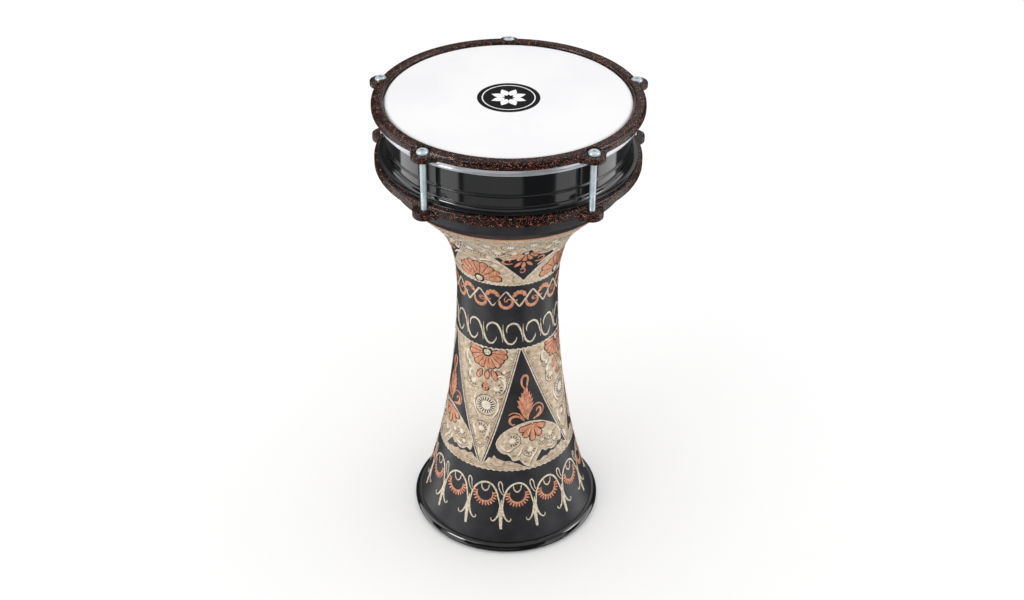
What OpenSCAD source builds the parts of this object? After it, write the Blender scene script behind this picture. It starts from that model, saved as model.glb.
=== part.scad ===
// Darbuka: a goblet-shaped hand drum whose synthetic head is tensioned by five bolts.
// Millimetres. The drum's axis is Z, the foot stands on Z = 0 and the head faces +Z.

/* [Body shell] */
// Height from the floor to the top of the tension hoop
drum_h = 411; // [405:0.5:420]
// Outer radius of the narrowest part of the neck
neck_r = 43; // [41:0.5:46]
// Height of the narrowest part of the neck
neck_z = 235; // [225:1:245]
// Outer radius where the flared foot enters its rim
foot_r = 79.3; // [77:0.1:81]
// Outer radius of the upright rim at the top of the bowl
rim_r = 95.6; // [94:0.1:96]
// Thickness of the spun copper sheet
sheet_t = 1.6; // [1:0.1:2]

/* [Head] */
// Radius of the printed patch in the middle of the head
patch_r = 25; // [10:1:40]
// Thickness of the plastic film
film_t = 0.3; // [0.2:0.05:0.4]
// Drop from the hoop's top to the film
film_drop = 1.6; // [1.2:0.1:2]

/* [Rings] */
// Outer radius of the tension hoop
hoop_r = 108.7; // [108.2:0.1:109]
// Outer radius of the lower ring
lower_r = 107.9; // [107:0.1:109]
// Height of the tension hoop
hoop_h = 7; // [6:0.5:8]
// Height of the lower ring
lower_h = 8; // [7:0.5:10]
// Radius of the rounded ears that hold the bolts
ear_r = 9.2; // [8:0.1:10]

/* [Bolts] */
// Number of tension bolts
bolt_n = 5; // [5:1:5]
// Radius of the circle that the bolt axes stand on
bolt_circle_r = 108.5; // [108.2:0.1:109]
// Nominal diameter of the bolts
bolt_d = 5; // [4.5:0.5:5]
// Length of a bolt under its head
bolt_len = 55; // [52:1:58]

/* [Hidden] */
$fn = 96;

// Gaps: between moving pieces, and between pieces that are fixed to each other.
move_gap = 0.3;
fixed_gap = 0.05;
big = 300;

// Body shell.
shell_foot_z = 3;
foot_z = 7;
foot_slope = 0.427;
rim_bend_r = 4;
rim_bend_a = 41;
rim_bend_z = 342;
curve_n = 26;
foot_curve = [[neck_r, neck_z], [neck_r, neck_z * 0.6], [foot_r - 16, foot_z + 37.5], [foot_r, foot_z]];
bend_c = [rim_r - rim_bend_r, rim_bend_z];
bowl_end = bend_c + rim_bend_r * [cos(rim_bend_a), -sin(rim_bend_a)];
bowl_curve = [[neck_r, neck_z], [neck_r, neck_z + 64], [bowl_end.x - 28, bowl_end.y - 32.2], bowl_end];

// Heights of the head assembly, counted down from the top of the hoop.
hoop_z = drum_h - hoop_h;
film_z = drum_h - film_drop;
edge_z = film_z - film_t - move_gap;
ear_drop = 3.1;
ear_t = 5.5;
ear_z = drum_h - ear_drop - ear_t;
flesh_z = hoop_z - 6.4;
flesh_top = hoop_z - move_gap;

// Collar.
collar_z = 363;
collar_r = 98.6;
collar_in = 94;
edge_r = 97.6;
edge_round = 2.2;
lip_r = 104.3;
shell_top = collar_z + 9.4;
lip_h = 1.1;
cove_r = 99.5;
cove_z = collar_z + 4;
bead_z = collar_z + 13.5;
seat_step_z = flesh_z + 0.9;

// Rings.
hoop_in = 99.2;
lower_top = collar_z;
lower_in = rim_r + fixed_gap;
lower_ear_z = lower_top - lower_h - 2;
lower_ear_t = 7;
fillet_r = 4;
pocket_r = 6;
hole_r = bolt_d / 2 + move_gap;

// Head pieces.
flesh_in = 99.6;
flesh_out = 104.9;
flesh_bead = 0.5;
slot_in = 101.2;
slot_out = 102.4;
slot_z = flesh_z + 2;
hem_r = 101.6;
hem_z = slot_z + 0.6;
shoulder_z = flesh_top - 1.1;

// Bolts and nuts.
head_d = 9.5;
head_h = 2.75;
key_af = 3;
key_depth = 1.6;
thread_len = 22;
thread_r = bolt_d / 2 - 0.05;
seat_z = ear_z + ear_t + fixed_gap;
nut_af = 8;
nut_h = 4.7;
nut_z = lower_ear_z + 0.1;
pocket_h = nut_h + 0.2;
nut_side_gap = 0.1;

// Points of a circular arc, from angle a0 to a1 in degrees.
function arc(c, r, a0, a1, n = 8) = [for (i = [0:n]) c + r * [cos(a0 + (a1 - a0) * i / n), sin(a0 + (a1 - a0) * i / n)]];

// One point of a cubic curve with the control points p, and the whole curve.
function curve_point(p, t) = pow(1 - t, 3) * p[0] + 3 * pow(1 - t, 2) * t * p[1]
    + 3 * (1 - t) * t * t * p[2] + pow(t, 3) * p[3];
function curve(p, first = 0) = [for (i = [first:curve_n]) curve_point(p, i / curve_n)];

// The list p moved sideways by d, to the left of its direction of travel.
function unit(v) = v / norm(v);
function side(p, i) = let (d = unit(p[min(i + 1, len(p) - 1)] - p[max(i - 1, 0)])) [-d.y, d.x];
function shifted(p, d) = [for (i = [0:len(p) - 1]) p[i] + d * side(p, i)];
function reversed(p) = [for (i = [len(p) - 1:-1:0]) p[i]];

// Outer outline of the shell, from the foot's edge up to the top of the rim.
shell_edge = [foot_r + foot_slope * (foot_z - shell_foot_z), shell_foot_z];
shell_outer = concat([shell_edge], reversed(curve(foot_curve)), curve(bowl_curve, 1),
                     arc(bend_c, rim_bend_r, -rim_bend_a + 8, 0, 5), [[rim_r, shell_top]]);

// Corner-rounded rectangle in the radius-height plane: outer and inner top radii, bottom radius.
module ring_section(r0, r1, z0, z1, top_out, top_in, bottom) {
    polygon(concat(
        arc([r1 - bottom, z0 + bottom], bottom, -90, 0, 4),
        arc([r1 - top_out, z1 - top_out], top_out, 0, 90),
        arc([r0 + top_in, z1 - top_in], top_in, 90, 180),
        arc([r0 + bottom, z0 + bottom], bottom, 180, 270, 4)));
}

// Places its children on every bolt axis; bolt 1 is at the back and they run anticlockwise.
function bolt_angle(i) = 90 + (i - 1) * 360 / bolt_n;
module at_bolt(i) {
    rotate(bolt_angle(i)) translate([bolt_circle_r, 0, 0]) children();
}
module at_bolts() {
    for (i = [1:bolt_n]) at_bolt(i) children();
}

// A rounded ear on a ring's outer wall, with fillets where it leaves the wall.
module ear(z, t) {
    fillet_y = sqrt(pow(ear_r + fillet_r, 2) - pow(fillet_r, 2));
    web_x = fillet_r * ear_r / (ear_r + fillet_r);
    edge = 1.2;
    translate([0, 0, z]) rotate_extrude() polygon(concat(
        [[0, 0]],
        arc([ear_r - edge, edge], edge, -90, 0, 4),
        arc([ear_r - edge, t - edge], edge, 0, 90, 4),
        [[0, t]]));
    translate([0, 0, z + edge / 2]) linear_extrude(t - edge) difference() {
        translate([-3, -fillet_y]) square([3 + web_x, 2 * fillet_y]);
        for (s = [-1, 1]) translate([fillet_r, s * fillet_y]) circle(r = fillet_r);
    }
}

// Goblet of spun copper: flared foot, narrow neck, conical bowl and upright rim.
module body_shell() {
    color("#303134") rotate_extrude() polygon(concat(shell_outer, reversed(shifted(shell_outer, sheet_t))));
}

// Glossy edging with a round section, clipped over the cut edge of the foot.
module foot_ring() {
    bead_r = 4.6;
    leg_in = 75.8;
    flat_out = 81;
    skew = sheet_t * sqrt(1 + foot_slope * foot_slope);
    slot_low = shell_foot_z - 0.8;
    slot_high = 12;
    function edge_r(z) = foot_r + foot_slope * (foot_z - z);
    color("#121214") rotate_extrude() difference() {
        union() {
            translate([foot_r, bead_r]) circle(r = bead_r);
            translate([leg_in + 0.6, 0]) square([flat_out - leg_in - 0.6, 2]);
            translate([leg_in, 0.6]) square([foot_r - leg_in, 6.4]);
        }
        polygon([[edge_r(slot_low) + fixed_gap, slot_low], [edge_r(slot_high) + fixed_gap, slot_high],
                 [edge_r(slot_high) - skew - fixed_gap, slot_high],
                 [edge_r(slot_low) - skew - fixed_gap, slot_low]]);
    }
}

// Cast collar over the shell's rim: rounded bearing edge, beaded wall and coved lip.
module head_collar() {
    cove_h = cove_z - collar_z - lip_h;
    cove_w = lip_r - cove_r;
    groove = 0.45;
    inner_round = 1.4;
    outline = concat(
        [[rim_r + fixed_gap, collar_z + fixed_gap], [lip_r, collar_z + fixed_gap], [lip_r, collar_z + lip_h]],
        [for (i = [1:8]) [lip_r - cove_w * sin(i * 90 / 8), cove_z - cove_h * cos(i * 90 / 8)]],
        [[cove_r, cove_z + 0.6], [collar_r, cove_z + 1.1]],
        [[collar_r, bead_z - 1]], arc([collar_r, bead_z], 0.6, -60, 60, 4), [[collar_r, bead_z + 0.8]],
        [[collar_r - groove, bead_z + 1], [collar_r - groove, bead_z + 1.7], [collar_r, bead_z + 1.9]],
        [[collar_r, seat_step_z], [edge_r, seat_step_z]],
        arc([edge_r - edge_round, edge_z - edge_round], edge_round, 0, 90),
        arc([collar_in + inner_round, edge_z - inner_round], inner_round, 90, 180),
        [[collar_in, shell_top + 0.1], [rim_r + fixed_gap, shell_top + 0.1]]);
    color("#1b1c1e") rotate_extrude() polygon(outline);
}

// Cast ring under the collar's lip, with an ear and a hexagonal nut pocket at each bolt.
module lower_ring() {
    color("#2a1d1a") difference() {
        union() {
            rotate_extrude() ring_section(lower_in, lower_r, lower_top - lower_h, lower_top, 2, 0.5, 0.8);
            at_bolts() difference() {
                ear(lower_ear_z, lower_ear_t);
                translate([-bolt_circle_r, 0, lower_ear_z - 1])
                    cylinder(r = lower_in + 4, h = lower_top - lower_h + 1 - lower_ear_z);
            }
        }
        at_bolts() translate([0, 0, lower_ear_z - 1]) cylinder(r = hole_r, h = lower_h + lower_ear_t);
        at_bolts() translate([0, 0, lower_ear_z - 1])
            cylinder(d = (nut_af + 2 * nut_side_gap) / cos(30), h = pocket_h + 1, $fn = 6);
    }
}

// Rounded tension hoop that presses on the head, with an ear and a head pocket at each bolt.
module top_hoop() {
    color("#2a1d1a") difference() {
        union() {
            rotate_extrude() ring_section(hoop_in, hoop_r, hoop_z, drum_h, 3.4, 2.2, 0.8);
            at_bolts() ear(ear_z, ear_t);
        }
        translate([0, 0, ear_z - 1]) cylinder(r = flesh_out + 2 * flesh_bead, h = hoop_z - ear_z + 1);
        translate([0, 0, ear_z - 1]) cylinder(r = hoop_in, h = big);
        at_bolts() translate([0, 0, ear_z + ear_t]) cylinder(r = pocket_r, h = big);
        at_bolts() translate([0, 0, ear_z - 1]) cylinder(r = hole_r, h = big);
    }
}

// Polished aluminium channel that grips the edge of the film and shows under the hoop.
module flesh_hoop() {
    color("#c9cdd2") rotate_extrude() difference() {
        union() {
            translate([flesh_in, flesh_z]) square([slot_in + 0.6 - flesh_in, shoulder_z - 0.2 - flesh_z]);
            translate([slot_in, flesh_z]) square([flesh_out - slot_in, flesh_top - flesh_z]);
            translate([flesh_out - 0.6, flesh_z + 1.5]) circle(r = 0.6 + flesh_bead);
        }
        translate([slot_in, slot_z]) square([slot_out - slot_in, big]);
    }
}

// Cured resin that fills the channel around the film's turned-down hem.
module channel_resin() {
    top = shoulder_z - 0.3;
    low = slot_z + fixed_gap;
    width = slot_out - slot_in - 2 * fixed_gap;
    color("#cfc6a8") rotate_extrude() difference() {
        translate([slot_in + fixed_gap, low]) square([width, top - low]);
        translate([hem_r - fixed_gap, hem_z - fixed_gap]) square([film_t + 2 * fixed_gap, big]);
    }
}

// Plastic film: flat playing surface, rolled edge, skirt, shoulder and hem in the channel.
module drumhead_film() {
    roll_in = edge_round + move_gap;
    roll_c = [edge_r - edge_round, edge_z - edge_round];
    skirt_r = edge_r + move_gap;
    color("#f7f8fb") rotate_extrude() polygon(concat(
        [[0, film_z - film_t]],
        arc(roll_c, roll_in, 90, 0),
        [[skirt_r, shoulder_z], [hem_r, shoulder_z], [hem_r, hem_z], [hem_r + film_t, hem_z]],
        [[hem_r + film_t, shoulder_z + film_t], [skirt_r + film_t, shoulder_z + film_t]],
        arc(roll_c, roll_in + film_t, 0, 90),
        [[0, film_z]]));
}

// Round printed patch stuck on the middle of the film.
module head_patch() {
    patch_t = 0.12;
    color("#141414") translate([0, 0, film_z]) cylinder(r = patch_r, h = patch_t);
}

// Zinc-plated button-head bolt with a hexagonal key socket and a partly threaded shank.
module tension_bolt(i) {
    head_r = head_d / 2;
    crown_r = 2.3;
    side_h = 0.6;
    tip = 0.7;
    shank_len = bolt_len - thread_len;
    color("#b9c2cb") at_bolt(i) translate([0, 0, seat_z]) difference() {
        rotate_extrude() polygon(concat(
            [[0, -bolt_len], [thread_r - tip, -bolt_len], [thread_r, -bolt_len + tip]],
            [[thread_r, -shank_len], [bolt_d / 2, -shank_len + 0.3], [bolt_d / 2, 0], [head_r, 0]],
            [for (a = [0:15:90]) [crown_r + (head_r - crown_r) * cos(a), side_h + (head_h - side_h) * sin(a)]],
            [[0, head_h]]));
        translate([0, 0, head_h - key_depth]) cylinder(d = key_af / cos(30), h = 3, $fn = 6);
    }
}

// Hexagon nut held in the pocket under a lower ear.
module hex_nut(i) {
    color("#9aa2a9") at_bolt(i) translate([0, 0, nut_z]) difference() {
        cylinder(d = nut_af / cos(30), h = nut_h, $fn = 6);
        translate([0, 0, -1]) cylinder(r = bolt_d / 2, h = nut_h + 2);
    }
}

body_shell();
foot_ring();
head_collar();
lower_ring();
top_hoop();
flesh_hoop();
channel_resin();
drumhead_film();
head_patch();
tension_bolt(1);  // tension_bolt_1
tension_bolt(2);  // tension_bolt_2
tension_bolt(3);  // tension_bolt_3
tension_bolt(4);  // tension_bolt_4
tension_bolt(5);  // tension_bolt_5
hex_nut(1);  // hex_nut_1
hex_nut(2);  // hex_nut_2
hex_nut(3);  // hex_nut_3
hex_nut(4);  // hex_nut_4
hex_nut(5);  // hex_nut_5
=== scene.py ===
"""Looks for the darbuka: metal parts, raised engraving, threads, film, floor, light and camera."""
import bisect
import math
from math import cos, dist, pi, radians, sin
import bmesh
import bpy
from mathutils import Matrix, Vector, noise
from mathutils.geometry import delaunay_2d_cdt

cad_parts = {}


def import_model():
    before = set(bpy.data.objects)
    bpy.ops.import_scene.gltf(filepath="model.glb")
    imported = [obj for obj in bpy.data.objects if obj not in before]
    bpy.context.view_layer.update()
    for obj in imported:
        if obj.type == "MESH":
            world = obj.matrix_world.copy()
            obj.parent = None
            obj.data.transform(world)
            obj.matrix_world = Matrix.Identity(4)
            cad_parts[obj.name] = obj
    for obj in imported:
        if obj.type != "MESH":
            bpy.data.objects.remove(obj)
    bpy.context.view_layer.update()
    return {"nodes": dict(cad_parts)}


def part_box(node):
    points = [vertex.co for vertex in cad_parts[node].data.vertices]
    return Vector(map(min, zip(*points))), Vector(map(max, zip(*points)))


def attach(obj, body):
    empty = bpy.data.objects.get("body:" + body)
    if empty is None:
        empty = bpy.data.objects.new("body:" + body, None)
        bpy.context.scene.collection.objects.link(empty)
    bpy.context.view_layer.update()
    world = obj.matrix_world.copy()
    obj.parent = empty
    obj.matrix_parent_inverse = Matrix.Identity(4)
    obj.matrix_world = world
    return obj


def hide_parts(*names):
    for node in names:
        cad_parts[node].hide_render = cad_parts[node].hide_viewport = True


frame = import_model()
NODES = frame["nodes"]
MM = 0.001
SEGMENTS = 240


# ---------------------------------------------------------------- materials

def rgb(r, g, b):
    """Linear colour from the usual 0 to 255 screen values."""
    def linear(c):
        c = c / 255
        return c / 12.92 if c <= 0.04045 else ((c + 0.055) / 1.055) ** 2.4
    return (linear(r), linear(g), linear(b), 1.0)


def add_node(tree, kind, inputs=(), **settings):
    """A new shader node; each input is a value, or a socket to link from."""
    made = tree.nodes.new(kind)
    for key, value in settings.items():
        setattr(made, key, value)
    for key, value in dict(inputs).items():
        if hasattr(value, "is_output"):
            tree.links.new(value, made.inputs[key])
        else:
            made.inputs[key].default_value = value
    return made


class Finish:
    """A node material under construction: a Principled shader with helpers for noise, ramps and bump."""

    def __init__(self, name, color, metallic=0.0, roughness=0.5, **sockets):
        self.mat = bpy.data.materials.new(name)
        self.mat.use_nodes = True
        self.tree = self.mat.node_tree
        self.shader = self.tree.nodes["Principled BSDF"].inputs
        self.shader["Base Color"].default_value = color
        self.shader["Metallic"].default_value = metallic
        self.shader["Roughness"].default_value = roughness
        for key, value in sockets.items():
            self.shader[key.replace("_", " ")].default_value = value
        self.coords = self.node("TexCoord").outputs["Object"]
        self.height = None

    def node(self, kind, inputs=(), **settings):
        return add_node(self.tree, "ShaderNode" + kind, inputs, **settings)

    def link(self, value, name):
        self.tree.links.new(value, self.shader[name])
        return self

    def stretched(self, *scale):
        """Object coordinates scaled on each axis, for grain that runs one way."""
        return self.node("Mapping", {"Vector": self.coords, "Scale": scale}).outputs["Vector"]

    def noise(self, scale, detail=3.0, roughness=0.5, vector=None, distortion=0.0):
        return self.node("TexNoise", {"Vector": vector or self.coords, "Scale": scale, "Detail": detail,
                                      "Roughness": roughness, "Distortion": distortion}).outputs["Fac"]

    def cells(self, scale):
        return self.node("TexVoronoi", {"Vector": self.coords, "Scale": scale}).outputs["Distance"]

    def ramp(self, value, *stops):
        """Colours by value; each stop is a position and a colour."""
        made = self.node("ValToRGB", {"Fac": value})
        made.color_ramp.interpolation = "EASE"
        points = made.color_ramp.elements
        while len(points) < len(stops):
            points.new(0.5)
        for point, (position, color) in zip(points, stops):
            point.position = position
            point.color = color if len(color) == 4 else (*color, 1.0)
        return made.outputs["Color"]

    def mix(self, factor, a, b, mode="MIX"):
        return self.node("Mix", {0: factor, 6: a, 7: b}, data_type="RGBA", blend_type=mode).outputs[2]

    def tint(self, value, *stops):
        """Colours the surface by a ramp over a value."""
        return self.link(self.ramp(value, *stops), "Base Color")

    def rough(self, value, low, high):
        made = self.node("MapRange", {"Value": value, "To Min": low, "To Max": high})
        return self.link(made.outputs["Result"], "Roughness")

    def bump(self, value, distance, strength=1.0):
        """Adds a bump layer; distance is in metres."""
        below = {"Normal": self.height} if self.height else {}
        made = self.node("Bump", {"Height": value, "Strength": strength, "Distance": distance, **below})
        self.height = made.outputs["Normal"]
        return self.link(self.height, "Normal")


def shell_lacquer():
    """Satin charcoal lacquer over spun copper: faint mottling and turning marks."""
    f = Finish("shell_lacquer", rgb(30, 30, 33), 0.0, 0.36, Specular_IOR_Level=0.5)
    f.tint(f.noise(70, 5, 0.6), (0.3, rgb(34, 34, 37)), (0.7, rgb(46, 46, 49)))
    f.rough(f.noise(160, 4, 0.6), 0.30, 0.46)
    return f.bump(f.noise(90, 3, 0.5, f.stretched(1, 1, 9)), 0.00006).mat


def engraved_silver(name, dark, mid, light):
    """Bright-cut silvery ground: fine hatching, punched dots and warm patina in the low spots."""
    f = Finish(name, mid, 0.15, 0.34)
    patina = f.noise(260, 6, 0.65, distortion=0.6)
    tone = f.ramp(patina, (0.30, dark), (0.47, mid), (0.68, light))
    dots = f.cells(900)
    punched = f.ramp(dots, (0.10, (0.55, 0.52, 0.48)), (0.28, (1, 1, 1)))
    f.link(f.mix(0.55, tone, punched, "MULTIPLY"), "Base Color")
    f.rough(patina, 0.26, 0.5)
    hatch = f.noise(420, 2, 0.5, f.stretched(1, 1, 6), 0.8)
    return f.bump(hatch, 0.00012).bump(dots, 0.00008).mat


def cut_silver():
    """Cream-bright graver lines."""
    f = Finish("cut_silver", rgb(234, 222, 204), 0.2, 0.3)
    shade = f.noise(500, 3, 0.5)
    return f.tint(shade, (0.32, rgb(192, 174, 150)), (0.62, rgb(234, 222, 203))).bump(shade, 0.00005).mat


def cut_copper():
    """Bare engraved copper, streaked where the graver ran."""
    f = Finish("cut_copper", rgb(224, 156, 124), 0.25, 0.36)
    streak = f.noise(700, 4, 0.6, f.stretched(1, 1, 0.35))
    f.tint(streak, (0.30, rgb(178, 106, 76)), (0.5, rgb(216, 147, 113)), (0.70, rgb(240, 194, 165)))
    return f.rough(streak, 0.28, 0.44).bump(streak, 0.0001).mat


def patina_and_painted_shade():
    """Blackened recesses round the ornament; the same dark also paints the shade and shadows round and under
    the raised shapes.
    """
    f = Finish("patina_and_painted_shade", rgb(34, 28, 26), 0.0, 0.55)
    f.tint(f.noise(400, 3, 0.5), (0.35, rgb(24, 20, 19)), (0.7, rgb(48, 38, 33)))
    return f.bump(f.noise(800, 2), 0.00003).mat


def hammertone():
    """Glossy black hammer enamel with copper-pink flecks about a millimetre across."""
    f = Finish("hammertone", rgb(24, 14, 12), 0.0, 0.24, Specular_IOR_Level=0.3, Coat_Weight=0.2,
               Coat_Roughness=0.06)
    grains = f.cells(1050)
    cloud = f.noise(260, 3, 0.6)
    fleck = f.ramp(cloud, (0.36, rgb(84, 36, 27)), (0.5, rgb(184, 92, 66)), (0.66, rgb(236, 174, 148)))
    ground = f.ramp(cloud, (0.35, rgb(7, 4, 4)), (0.75, rgb(18, 10, 9)))
    amount = f.ramp(grains, (0.20, (0.95, 0.95, 0.95)), (0.33, (0, 0, 0)))
    f.link(f.mix(amount, ground, fleck), "Base Color")
    return f.rough(cloud, 0.16, 0.34).bump(grains, 0.0002, 0.8).mat


def gloss_black(name, tone, roughness, ripple):
    """Sprayed gloss black with faint orange peel."""
    f = Finish(name, tone, 0.0, roughness, Coat_Weight=0.8, Coat_Roughness=0.04)
    f.rough(f.noise(120, 3, 0.5), roughness * 0.8, roughness * 1.4)
    f.tint(f.noise(40, 2), (0.3, tone), (0.8, tuple(c * 1.5 for c in tone[:3])))
    return f.bump(f.noise(500, 2), ripple).mat


def polished_aluminium():
    """Polished aluminium with fine turning lines round the axis."""
    f = Finish("polished_aluminium", rgb(214, 217, 222), 0.65, 0.16)
    lines = f.noise(60, 3, 0.6, f.stretched(1, 1, 60))
    f.tint(lines, (0.3, rgb(188, 192, 198)), (0.7, rgb(226, 228, 232)))
    return f.rough(lines, 0.10, 0.26).bump(lines, 0.00002).mat


def zinc_plate():
    """Bright zinc with a bluish cast and slight clouding."""
    f = Finish("zinc_plate", rgb(184, 200, 206), 0.35, 0.3)
    cloud = f.noise(160, 3, 0.5)
    f.tint(cloud, (0.3, rgb(184, 200, 206)), (0.7, rgb(216, 228, 232)))
    return f.rough(cloud, 0.24, 0.36).bump(f.noise(700, 2), 0.000006).mat


def film_white():
    """Smooth white plastic film."""
    f = Finish("film_white", rgb(243, 243, 245), 0.0, 0.42, Specular_IOR_Level=0.35)
    cloud = f.noise(14, 3, 0.5)
    f.tint(cloud, (0.3, rgb(241, 241, 243)), (0.7, rgb(247, 247, 248)))
    return f.rough(cloud, 0.38, 0.5).bump(f.noise(260, 2), 0.00001).mat


def printed(name, tone):
    """Screen-printed ink on the film."""
    f = Finish(name, tone, 0.0, 0.5, Specular_IOR_Level=0.15)
    f.tint(f.noise(300, 3), (0.3, tone), (0.8, tuple(min(1, c * 1.15 + 0.002) for c in tone[:3])))
    return f.bump(f.noise(900, 2), 0.000006).mat


def resin_amber():
    """Cured resin in the channel."""
    f = Finish("resin_amber", rgb(206, 192, 150), 0.0, 0.4)
    f.tint(f.noise(200, 3), (0.3, rgb(190, 172, 126)), (0.7, rgb(216, 204, 168)))
    return f.bump(f.noise(300, 2), 0.00005).mat


MATS = {
    "lacquer": shell_lacquer(),
    "ground": engraved_silver("silver_ground", rgb(136, 112, 90), rgb(202, 179, 152), rgb(236, 220, 199)),
    # Painted highlight: the raised relief is a lighter copy of the ground silver.
    "silver": engraved_silver("silver_relief_painted_highlight", rgb(190, 170, 144), rgb(236, 223, 202), rgb(252, 246, 234)),
    "line": cut_silver(),
    "copper": cut_copper(),
    "dark": patina_and_painted_shade(),
    "hammer": hammertone(),
    "collar": gloss_black("collar_enamel", rgb(11, 12, 14), 0.10, 0.000006),
    "edging": gloss_black("foot_edging", rgb(9, 9, 10), 0.08, 0.000004),
    "aluminium": polished_aluminium(),
    "zinc": zinc_plate(),
    "film": film_white(),
    "ink": printed("patch_black", rgb(18, 18, 18)),
    "white_ink": printed("patch_white", rgb(244, 244, 244)),
    "resin": resin_amber(),
}


# ---------------------------------------------------------------- mesh helpers

def piece(name, verts, faces, material, smooth=True):
    """A new mesh object from metre coordinates."""
    mesh = bpy.data.meshes.new(name)
    mesh.from_pydata(verts, [], faces)
    mesh.validate()
    mesh.polygons.foreach_set("use_smooth", [smooth] * len(mesh.polygons))
    mesh.materials.append(MATS[material])
    obj = bpy.data.objects.new(name, mesh)
    bpy.context.scene.collection.objects.link(obj)
    return obj


def sharpen(obj, degrees=35):
    """Keeps edges steeper than this crisp under smooth shading."""
    obj.data.set_sharp_from_angle(angle=radians(degrees))
    return obj


def install(obj, body, slot, *replaced):
    """Attaches a finished piece to its body and hides the CAD nodes that it stands for; slot is not used."""
    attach(obj, body)
    if replaced:
        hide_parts(*replaced)
    return obj


def section_of(node):
    """The outline of a turned CAD node in a plane through its axis, as ordered (radius, height) points."""
    bm = bmesh.new()
    bm.from_mesh(NODES[node].data)
    bmesh.ops.remove_doubles(bm, verts=bm.verts, dist=1e-7)
    cut = bmesh.ops.bisect_plane(bm, geom=bm.verts[:] + bm.edges[:] + bm.faces[:],
                                 plane_co=(0, 0, 0), plane_no=(0, 1, 0), dist=1e-7)["geom_cut"]
    edges = [e for e in cut if isinstance(e, bmesh.types.BMEdge)
             and min(v.co.x for v in e.verts) > -1e-7]
    near = {}
    for e in edges:
        a, b = e.verts
        near.setdefault(a, []).append(b)
        near.setdefault(b, []).append(a)
    ends = [v for v, n in near.items() if len(n) == 1]
    here = ends[0] if ends else min(near, key=lambda v: (v.co.z, v.co.x))
    loop, last = [here], None
    while True:
        ahead = [v for v in near[here] if v is not last and (v is not loop[0] or len(loop) > 2)]
        if not ahead or ahead[0] is loop[0] or len(loop) > len(near):
            break
        last, here = here, ahead[0]
        loop.append(here)
    points = [(v.co.x, v.co.z) for v in loop]
    bm.free()
    if ends:
        points = [(0.0, points[0][1])] + [p for p in points if p[0] > 1e-6] + [(0.0, points[-1][1])]
    return simplified(points, not ends), not ends


def simplified(points, closed):
    """Drops points that lie on the straight line between their neighbours."""
    kept = []
    n = len(points)
    for i, p in enumerate(points):
        if not closed and i in (0, n - 1):
            kept.append(p)
            continue
        a, b = points[i - 1], points[(i + 1) % n]
        turn = (p[0] - a[0]) * (b[1] - p[1]) - (p[1] - a[1]) * (b[0] - p[0])
        span = dist(a, p) * dist(p, b)
        if span > 1e-14 and abs(turn) / span > 0.002:
            kept.append(p)
    return kept


def softened(points, closed, radius, steps=3, least=25):
    """Rounds the outline's corners that turn by more than least degrees."""
    out = []
    n = len(points)
    for i, p in enumerate(points):
        if not closed and i in (0, n - 1):
            out.append(p)
            continue
        p, a, b = Vector(p), Vector(points[i - 1]), Vector(points[(i + 1) % n])
        before, after = (a - p), (b - p)
        turn = 180 - math.degrees(before.angle(after))
        if turn < least:
            out.append(tuple(p))
            continue
        reach = min(radius, before.length * 0.45, after.length * 0.45)
        start, end = p + before.normalized() * reach, p + after.normalized() * reach
        if before.length > 4 * reach:
            out.append(tuple(p + before.normalized() * reach * 1.6))
        for k in range(steps + 1):
            t = k / steps
            out.append(tuple(start * (1 - t) ** 2 + p * 2 * t * (1 - t) + end * t * t))
        if after.length > 4 * reach:
            out.append(tuple(p + after.normalized() * reach * 1.6))
    return out


def lathe(name, rows, material, steps=SEGMENTS, unit=1.0, crisp=35):
    """A closed solid turned about the axis from (radius, height) rows; a radius of None is a pole.

    A radius may also be a function of the angle. Rows that start away from the axis close on themselves.
    """
    verts, index = [], []
    for radius, z in rows:
        start = len(verts)
        if radius is None:
            index.append([start] * steps)
            verts.append((0, 0, z * unit))
            continue
        index.append(list(range(start, start + steps)))
        for k in range(steps):
            a = 2 * pi * k / steps
            r = radius(a) if callable(radius) else radius
            verts.append((r * cos(a) * unit, r * sin(a) * unit, z * unit))
    faces = []
    for i in range(len(rows) - (rows[0][0] is None)):
        low, high = index[i], index[(i + 1) % len(rows)]
        for k in range(steps):
            m = (k + 1) % steps
            loop = [low[k], low[m], high[m], high[k]]
            loop = [v for j, v in enumerate(loop) if v != loop[j - 1]]
            if len(loop) > 2:
                faces.append(loop)
    flat = [(verts[i[0]][0], verts[i[0]][2]) for i in index]
    if sum(a[0] * b[1] - b[0] * a[1] for a, b in zip([flat[-1]] + flat, flat)) < 0:
        faces = [f[::-1] for f in faces]
    return sharpen(piece(name, verts, faces, material), crisp)


def revolved(name, node, material, soft, steps=SEGMENTS):
    """The outline of a turned CAD node with softened corners, turned again as a smooth solid."""
    outline, closed = section_of(node)
    rows = [(r if r > 1e-6 else None, z) for r, z in softened(outline, closed, soft * MM)]
    return lathe(name, rows, material, steps)


def turned(name, node, material, body, slot, soft=0.25):
    """A smooth turned piece with softened corners that stands for a round CAD node."""
    return install(revolved(name, node, material, soft), body, slot, node)


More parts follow.
